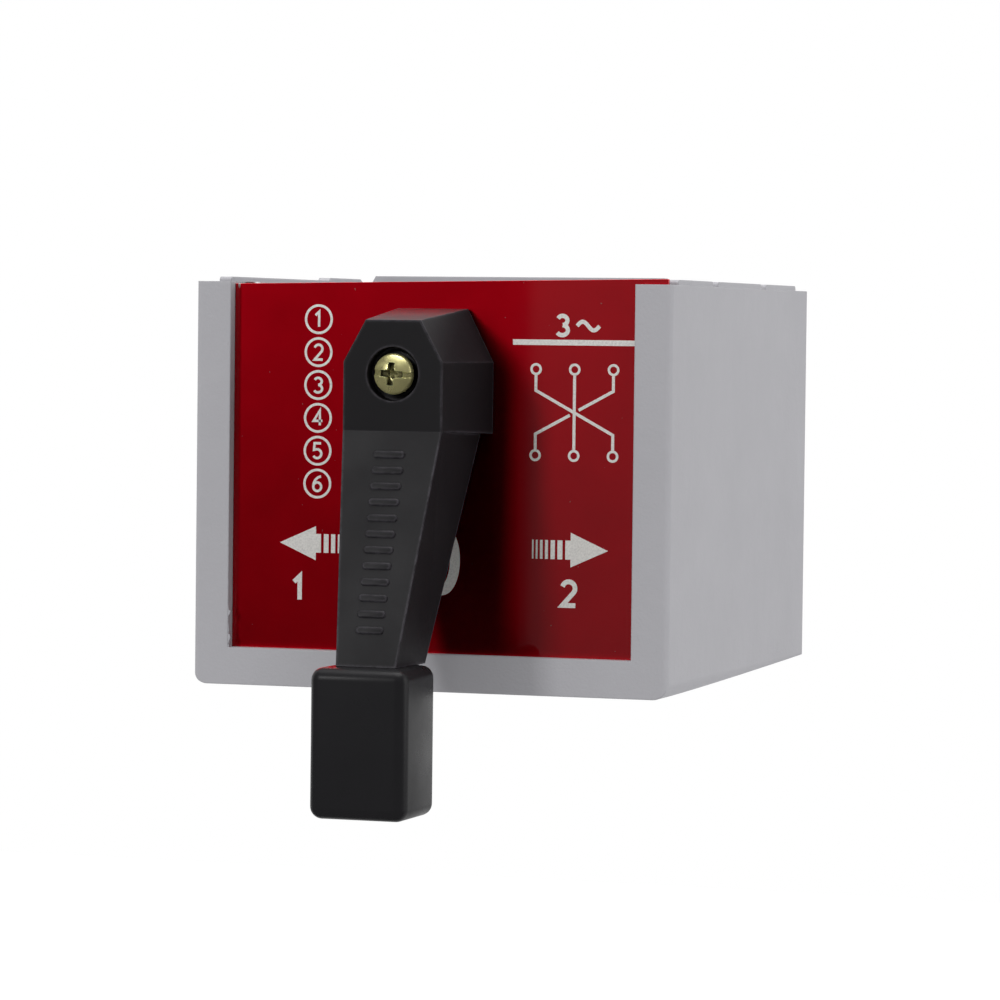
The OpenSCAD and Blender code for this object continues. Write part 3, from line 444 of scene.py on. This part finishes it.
# ---------------------------------------------------------------- the print on the plate

PLATE_Y = -101.55
# How far the print stands out of the plate's face, and how far it goes in
PRINT_PROUD, PRINT_SUNK = 0.04, 0.02
# Marks that cross lie this much apart, so that no two faces share a plane
PRINT_STEP = 0.005
PRINT_MIDDLE = 2.24


def printed(name, shapes):
    """One printed mark, made of (outline, hole) pairs."""
    bm = bmesh.new()
    for i, (outline, hole) in enumerate(shapes):
        prism(bm, outline, PLATE_Y - PRINT_PROUD + PRINT_STEP * (i % 4), PLATE_Y + PRINT_SUNK, hole)
    new_piece(name, bm, PRINT, "base")


# The arrow's head, its neck and the graded bars of its tail, as distances from the print's middle
ARROW_Z = -11.8
ARROW_TIP, ARROW_BASE, ARROW_NECK = 34.57, 26.85, 25.75
ARROW_HALF, TAIL_HALF = 3.43, 1.88
TAIL_BARS = ((24.13, 25.16), (22.70, 23.59), (21.54, 22.16), (20.50, 21.04), (19.63, 20.00), (18.86, 19.15))


def arrow(side):
    """An arrow that points to the left (-1) or to the right (1)."""
    corners = ((ARROW_TIP, 0), (ARROW_BASE, ARROW_HALF), (ARROW_BASE, TAIL_HALF), (ARROW_NECK, TAIL_HALF),
               (ARROW_NECK, -TAIL_HALF), (ARROW_BASE, -TAIL_HALF), (ARROW_BASE, -ARROW_HALF))
    shapes = [([(PRINT_MIDDLE + side * along, ARROW_Z + up) for along, up in corners], None)]
    for bar in TAIL_BARS:
        left, right = sorted(PRINT_MIDDLE + side * along for along in bar)
        shapes.append(rectangle(left, right, ARROW_Z - TAIL_HALF, ARROW_Z + TAIL_HALF))
    return shapes


# Plain numerals as lines (points, closed), in a cell 1 high and about 0.6 wide
CELL_MIDDLE = (0.3, 0.5)
NUMERALS = {
    1: [([(0.06, 0.76), (0.32, 1.0), (0.32, 0.0)], False)],
    2: [(arc(0.3, 0.72, 0.28, 0.28, 165, -35, 10) + [(0.03, 0.0), (0.6, 0.0)], False)],
    3: [(arc(0.29, 0.745, 0.26, 0.235, 155, -85, 12), False),
        (arc(0.28, 0.255, 0.3, 0.255, 85, -150, 14), False)],
    4: [([(0.44, 0.0), (0.44, 1.0), (0.0, 0.3), (0.62, 0.3)], False)],
    5: [([(0.54, 1.0), (0.08, 1.0), (0.05, 0.56)] + arc(0.27, 0.3, 0.3, 0.3, 95, -150, 12), False)],
    6: [(arc(0.3, 0.29, 0.28, 0.29, 90, 450, 24)[:-1], True),
        (arc(0.62, 0.30, 0.6, 0.68, 95, 175, 8), False)],
}


def number(digit, x, z, height, line):
    """A numeral centred on x, z."""
    shapes = []
    for points, closed in NUMERALS[digit]:
        placed = [(x + (px - CELL_MIDDLE[0]) * height, z + (pz - CELL_MIDDLE[1]) * height)
                  for px, pz in points]
        shapes.append(ribbon(placed, line, closed))
    return shapes


# Each mark at its measured place on the plate
printed("print_arrow_left", arrow(-1))
printed("print_arrow_right", arrow(1))
printed("print_zero", [ring_line(PRINT_MIDDLE, -14.5, 2.75, 5.95, 2.1, 48)])
printed("print_rule", [rectangle(16.64, 43.5, 28.55, 29.65)])

BIG_NUMBER, BIG_LINE = 4.7, 0.95
printed("print_number_left", number(1, -28.1, -20.9, BIG_NUMBER, BIG_LINE))
printed("print_number_right", number(2, 28.8, -20.4, BIG_NUMBER, BIG_LINE))

# The column of circled numbers
COLUMN_X, COLUMN_TOP, COLUMN_PITCH = -24.45, 33.2, 6.6
CIRCLE_RADIUS, SMALL_NUMBER, SMALL_LINE = 2.75, 3.0, 0.5
terminals = []
for i in range(6):
    z = COLUMN_TOP - i * COLUMN_PITCH
    terminals.append(ring_line(COLUMN_X, z, CIRCLE_RADIUS, CIRCLE_RADIUS, SMALL_LINE, 40))
    terminals += number(i + 1, COLUMN_X, z, SMALL_NUMBER, SMALL_LINE)
printed("print_terminal_numbers", terminals)

# The wiring symbol: three contacts above, three below, one straight line and two that cross
LEFT_X, MIDDLE_X, RIGHT_X = 21.5, 29.5, 37.5
UPPER_Z, LOWER_Z = 23.8, 6.8
DOT_RADIUS, WIRE = 0.95, 0.6
UPPER_END, UPPER_BEND, LOWER_BEND, LOWER_END = 22.6, 19.6, 11.0, 8.0
# Where one of the crossing lines is broken, so that they read as not joined
GAP_ABOVE, GAP_BELOW = (30.4, 15.8), (28.6, 14.8)
contacts = [ring_line(x, z, DOT_RADIUS, DOT_RADIUS, SMALL_LINE, 28)
            for x in (LEFT_X, MIDDLE_X, RIGHT_X) for z in (UPPER_Z, LOWER_Z)]
for line in ([(MIDDLE_X, UPPER_END), (MIDDLE_X, LOWER_END)],
             [(LEFT_X, UPPER_END), (LEFT_X, UPPER_BEND), (RIGHT_X, LOWER_BEND), (RIGHT_X, LOWER_END)],
             [(RIGHT_X, UPPER_END), (RIGHT_X, UPPER_BEND), GAP_ABOVE],
             [GAP_BELOW, (LEFT_X, LOWER_BEND), (LEFT_X, LOWER_END)]):
    contacts.append(ribbon(line, WIRE))
printed("print_contact_diagram", contacts)

# The three-phase mark: a numeral and one period of a wave
PHASE_HEIGHT, PHASE_LINE = 3.9, 0.85
WAVE_LEFT, WAVE_Z, WAVE_LENGTH = 29.9, 32.4, 4.6
WAVE_HEIGHT, WAVE_LINE, WAVE_STEPS = 0.85, 0.8, 16
wave = [(WAVE_LEFT + WAVE_LENGTH * i / WAVE_STEPS,
         WAVE_Z + WAVE_HEIGHT * math.sin(i / WAVE_STEPS * 2 * math.pi)) for i in range(WAVE_STEPS + 1)]
printed("print_phase_mark", number(3, 26.9, 32.5, PHASE_HEIGHT, PHASE_LINE) + [ribbon(wave, WAVE_LINE)])

# ---------------------------------------------------------------- ragged flash left on the frame's inner edge

HOUSING_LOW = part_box("housing")[0] / MM
FRAME_EDGE = 7.5
# Height above the sill and reach into the opening
FLASH = ((0, 0.35), (0.7, 0.2), (1.2, 0.3), (1.9, 0.6), (2.5, 0.45), (2.8, 0.1), (3.2, 0.25), (4.2, 0.18),
         (5.2, 0.05), (6.2, 0.1), (6.7, 0.4), (7.3, 0.6), (7.5, 0.2), (8.3, 0.08), (9.6, 0.02))
FLASH_TOP = FLASH[-1][0]
# How far the flash goes into the frame, and its front and back behind the frame's face
FLASH_ROOT, FLASH_FRONT, FLASH_BACK = 0.2, 0.03, 0.2

edge_x, sill_z = HOUSING_LOW.x + FRAME_EDGE, HOUSING_LOW.z + FRAME_EDGE
outline = [(edge_x - FLASH_ROOT, sill_z - FLASH_ROOT)]
outline += [(edge_x + reach, sill_z + up) for up, reach in FLASH]
outline += [(edge_x - FLASH_ROOT, sill_z + FLASH_TOP)]
bm = bmesh.new()
prism(bm, outline, HOUSING_LOW.y + FLASH_FRONT, HOUSING_LOW.y + FLASH_BACK)
new_piece("frame_flash", bm, LOOKS["housing_plastic"], "base")

# ---------------------------------------------------------------- the lever's relief and foot

HUB_FRONT, HUB_LOW = -125.5, 11.56
ARM_FRONT, ARM_LOW = -139.0, -33.54
ARM_WAY = Vector((0, ARM_FRONT - HUB_FRONT, ARM_LOW - HUB_LOW)).normalized()
ARM_OUT = Vector((0, ARM_WAY.z, -ARM_WAY.y))

BAR_COUNT, BAR_TOP, BAR_PITCH = 12, 7.0, 3.05
BAR_HALF_WIDTH, BAR_TAPER = 3.3, 0.04
BAR_HALF_HEIGHT, BAR_PROUD, BAR_SUNK = 0.72, 0.32, -0.2
# A bar's section from its root to its top: height out of the arm and inset from its outline
BAR_SECTION = ((BAR_SUNK, 0.0), (BAR_PROUD * 0.35, 0.0), (BAR_PROUD * 0.85, 0.12), (BAR_PROUD, 0.3))
BAR_STEPS = 8


def arm_point(x, z, out):
    """A point in front of the arm's sloping face, in metres."""
    t = (z - HUB_LOW) / (ARM_LOW - HUB_LOW)
    y = HUB_FRONT + t * (ARM_FRONT - HUB_FRONT)
    return (Vector((x, y, z)) + ARM_OUT * out) * MM


def raised_bar(bm, z, half_width):
    """A low pill-shaped bar across the arm, with sloping sides and a flat top."""
    rings = []
    end = half_width - BAR_HALF_HEIGHT
    for out, inset in BAR_SECTION:
        r = BAR_HALF_HEIGHT - inset
        pill = arc(end, 0, r, r, -90, 90, BAR_STEPS) + arc(-end, 0, r, r, 90, 270, BAR_STEPS)
        rings.append([bm.verts.new(arm_point(x, z + up, out)) for x, up in pill])
    capped(bm, rings)


bm = bmesh.new()
for i in range(BAR_COUNT):
    raised_bar(bm, BAR_TOP - i * BAR_PITCH, BAR_HALF_WIDTH - BAR_TAPER * i)
new_piece("lever_ribs", bm, LOOKS["lever_plastic"], "rotor", 50)

# The foot carries the arm down between the grip's rounded shoulders
FOOT_TOP, FOOT_BOTTOM = -33.6, -35.6
FOOT_PLAN = ((-6.08, -138.95), (6.08, -138.95), (6.4, -126.1), (-6.4, -126.1))

bm = bmesh.new()
capped(bm, [[bm.verts.new(Vector((x, y, z)) * MM) for x, y in FOOT_PLAN] for z in (FOOT_BOTTOM, FOOT_TOP)])
new_piece("lever_foot", bm, LOOKS["lever_plastic"], "rotor")

# ---------------------------------------------------------------- the grip, with all its edges rounded

GRIP_ROUNDING, GRIP_SEGMENTS = 2.4, 8


def rounded_grip():
    """The box of the grip's solid, with a round on every edge."""
    low, high = (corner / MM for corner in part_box("grip_cap"))
    bm = bmesh.new()
    corners = [bm.verts.new(Vector((x, y, z)) * MM)
               for x in (low.x, high.x) for y in (low.y, high.y) for z in (low.z, high.z)]
    for face in ((0, 1, 3, 2), (4, 6, 7, 5), (0, 4, 5, 1), (2, 3, 7, 6), (0, 2, 6, 4), (1, 5, 7, 3)):
        bm.faces.new([corners[i] for i in face])
    bmesh.ops.recalc_face_normals(bm, faces=bm.faces)
    bmesh.ops.bevel(bm, geom=bm.edges[:], offset=GRIP_ROUNDING * MM, segments=GRIP_SEGMENTS, profile=0.5,
                    affect="EDGES")
    piece = new_piece("grip", bm, LOOKS["grip_rubber"], "rotor", 40)
    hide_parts("grip_cap")


rounded_grip()

# ---------------------------------------------------------------- the lever's screw, with slot and cross

SCREW_LOW, SCREW_HIGH = (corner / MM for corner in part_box("lever_screw"))
HEAD_RADIUS, HEAD_RIM, HEAD_DOME = 4.0, 1.2, 1.6
HEAD_ROUND = 0.45
SEAT_Y = SCREW_LOW.y + HEAD_RIM + HEAD_DOME
# The least metal left under the drive
DRIVE_FLOOR = 0.15
SHANK_RADIUS, THREAD_PITCH, THREAD_DEPTH = 2.0, 0.7, 0.28
SLOT_HALF, SLOT_DEEP = 0.55, 0.5
CROSS_REACH, CROSS_HALF, CROSS_DEEP = 2.2, 0.62, 2.1
# How much wider the cross gets towards its middle, and which share of its depth it loses at its ends
CROSS_FLARE, CROSS_RISE = 0.5, 0.5
DRIVE_TURN = math.radians(4)
DRIVE_SLOPE = 0.14
SCREW_AROUND, HEAD_RINGS, THREAD_RINGS = 128, 44, 4


def cut(inside, deep):
    """How deep a groove is at a distance inside its edge, with a sloping wall."""
    return deep * min(1.0, max(0.0, inside / DRIVE_SLOPE))


def drive_depth(x, z):
    """How deep the drive goes below the dome, in millimetres."""
    u = x * math.cos(DRIVE_TURN) - z * math.sin(DRIVE_TURN)
    v = x * math.sin(DRIVE_TURN) + z * math.cos(DRIVE_TURN)
    deep = cut(SLOT_HALF - abs(v), SLOT_DEEP)
    for along, across in ((u, v), (v, u)):
        part = abs(along) / CROSS_REACH
        if part < 1:
            half = CROSS_HALF + CROSS_FLARE * (1 - part) ** 3
            deep = max(deep, cut(half - abs(across), CROSS_DEEP * (1 - CROSS_RISE * part)))
    return deep


def dome_height(r):
    """Height of the head above its flat underside."""
    ball = (HEAD_RADIUS ** 2 + HEAD_DOME ** 2) / (2 * HEAD_DOME)
    top = HEAD_RIM + math.sqrt(max(0.0, ball ** 2 - r ** 2)) - (ball - HEAD_DOME)
    edge = max(0.0, r - (HEAD_RADIUS - HEAD_ROUND))
    return top - (HEAD_ROUND - math.sqrt(max(0.0, HEAD_ROUND ** 2 - edge ** 2)))


def head_front(x, z):
    """Depth of the head's front at a place on it, in millimetres."""
    r = min(HEAD_RADIUS, math.hypot(x, z))
    return min(SEAT_Y - DRIVE_FLOOR, SEAT_Y - dome_height(r) + drive_depth(x, z))


def turned_screw():
    """The whole screw as one closed mesh: head, drive, shank and thread."""
    bm = bmesh.new()

    def ring(radius, depth):
        """A ring round the shaft's axis, at one depth or at a depth that a function gives."""
        loop = []
        for i in range(SCREW_AROUND):
            a = 2 * math.pi * i / SCREW_AROUND
            x, z = radius * math.cos(a), radius * math.sin(a)
            y = depth(x, z) if callable(depth) else depth
            loop.append(bm.verts.new(Vector((x, y, SHAFT_Z + z)) * MM))
        return loop

    loops = [ring(HEAD_RADIUS * i / HEAD_RINGS, head_front) for i in range(1, HEAD_RINGS + 1)]
    loops += [ring(HEAD_RADIUS, SEAT_Y), ring(SHANK_RADIUS, SEAT_Y)]
    length = SCREW_HIGH.y - SEAT_Y
    turns = int(length / THREAD_PITCH * THREAD_RINGS)
    for i in range(1, turns):
        radius = SHANK_RADIUS - (THREAD_DEPTH if i % THREAD_RINGS in (2, 3) else 0)
        loops.append(ring(radius, SEAT_Y + length * i / turns))
    loops.append(ring(SHANK_RADIUS - THREAD_DEPTH, SCREW_HIGH.y))
    skin(bm, loops)
    middle = bm.verts.new(Vector((0, head_front(0, 0), SHAFT_Z)) * MM)
    for i in range(SCREW_AROUND):
        bm.faces.new((middle, loops[0][(i + 1) % SCREW_AROUND], loops[0][i]))
    bm.faces.new(loops[-1])
    piece = new_piece("screw_turned", bm, LOOKS["yellow_zinc"], "rotor", 35)
    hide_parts("lever_screw")


turned_screw()

# ---------------------------------------------------------------- lamps and world


def lamp(name, at, aim, width, height, radiance):
    """A soft panel of light of one radiance, whatever its size."""
    data = bpy.data.lights.new(name, "AREA")
    data.shape = "RECTANGLE"
    data.size, data.size_y = width, height
    data.energy = radiance * math.pi * width * height
    light = bpy.data.objects.new(name, data)
    light.location = at
    light.rotation_euler = (Vector(aim) - Vector(at)).to_track_quat("-Z", "Y").to_euler()
    light.visible_camera = False
    scene.collection.objects.link(light)


# Each with its place, aim, width, height and radiance
AIM = (0.0, -0.06, 0.0)
lamp("key", (-0.91, -1.79, 0.79), AIM, 0.27, 0.6, 21.2)
lamp("fill", (1.68, 0.05, 0.35), AIM, 0.9, 1.2, 2.2)
lamp("top", (0.1, -0.1, 1.6), AIM, 1.3, 1.3, 4.0)
# A tall narrow panel that the plate mirrors to the right of the lever's shadow
lamp("front_panel", (-0.53, -2.2, 0.0), (-0.53, 0, 0), 0.27, 2.2, 0.34)

AMBIENT_STRENGTH = 0.54


def light_world():
    """A plain world: a weak even light on the object, and white where it is seen or mirrored."""
    world = bpy.data.worlds.new("world")
    scene.world = world
    world.use_nodes = True
    tree = world.node_tree
    tree.nodes.clear()
    out = tree.nodes.new("ShaderNodeOutputWorld")
    path = tree.nodes.new("ShaderNodeLightPath")
    mix = tree.nodes.new("ShaderNodeMixShader")
    for entry, strength in ((1, AMBIENT_STRENGTH), (2, 1.0)):
        background = tree.nodes.new("ShaderNodeBackground")
        background.inputs["Color"].default_value = (1, 1, 1, 1)
        background.inputs["Strength"].default_value = strength
        tree.links.new(background.outputs[0], mix.inputs[entry])
    shown = path.outputs["Is Camera Ray"]
    for ray in ("Is Glossy Ray", "Is Transmission Ray"):
        either = tree.nodes.new("ShaderNodeMath")
        either.operation = "MAXIMUM"
        tree.links.new(shown, either.inputs[0])
        tree.links.new(path.outputs[ray], either.inputs[1])
        shown = either.outputs[0]
    tree.links.new(shown, mix.inputs[0])
    tree.links.new(mix.outputs[0], out.inputs["Surface"])


light_world()

# ---------------------------------------------------------------- stage

FLOOR_Z, FLOOR_HALF = -0.6, 4
FLOOR_GLOW = 0.85
CARD_RADIUS, CARD_TOP, CARD_STEPS = 3.2, 4.0, 24
CARD_LOW = FLOOR_Z + 0.01
# The card's ends, in degrees to each side of the front
CARD_END = 92


def floor_look():
    """A pale floor that looks white to the camera and keeps the object's shadow."""
    g = Graph("floor")
    g.set(Base_Color=(0.82, 0.82, 0.82, 1), Roughness=0.9, Specular_IOR_Level=0.1,
          Emission_Color=(1, 1, 1, 1))
    glow = g.spread(g.add("ShaderNodeLightPath"), "Is Camera Ray", 0, 1, 0, FLOOR_GLOW)
    g.wire(glow, "Result", g.shader, "Emission Strength")
    return g.material


def floor():
    """A flat square far below the object, which hangs on a wall."""
    bm = bmesh.new()
    bm.faces.new([bm.verts.new((x * FLOOR_HALF, y * FLOOR_HALF, FLOOR_Z))
                  for x, y in ((-1, -1), (1, -1), (1, 1), (-1, 1))])
    piece = mesh_object("floor", bm, floor_look())


def dark_card():
    """A dark half ring with a bottom in front of the object, seen only in its reflections."""
    g = Graph("dark_card")
    g.set(Base_Color=(0.02, 0.02, 0.02, 1), Roughness=0.9, Specular_IOR_Level=0.0)
    bm = bmesh.new()
    rows = []
    for i in range(CARD_STEPS + 1):
        a = math.radians(-CARD_END + 2 * CARD_END * i / CARD_STEPS)
        x, y = CARD_RADIUS * math.sin(a), -CARD_RADIUS * math.cos(a)
        rows.append([bm.verts.new((x, y, z)) for z in (CARD_LOW, CARD_TOP)])
    for a, b in zip(rows, rows[1:]):
        bm.faces.new((a[0], b[0], b[1], a[1]))
    bm.faces.new([row[0] for row in rows])
    card = mesh_object("dark_card", bm, g.material)
    card.visible_camera = False
    card.visible_diffuse = False
    card.visible_shadow = False


floor()
dark_card()
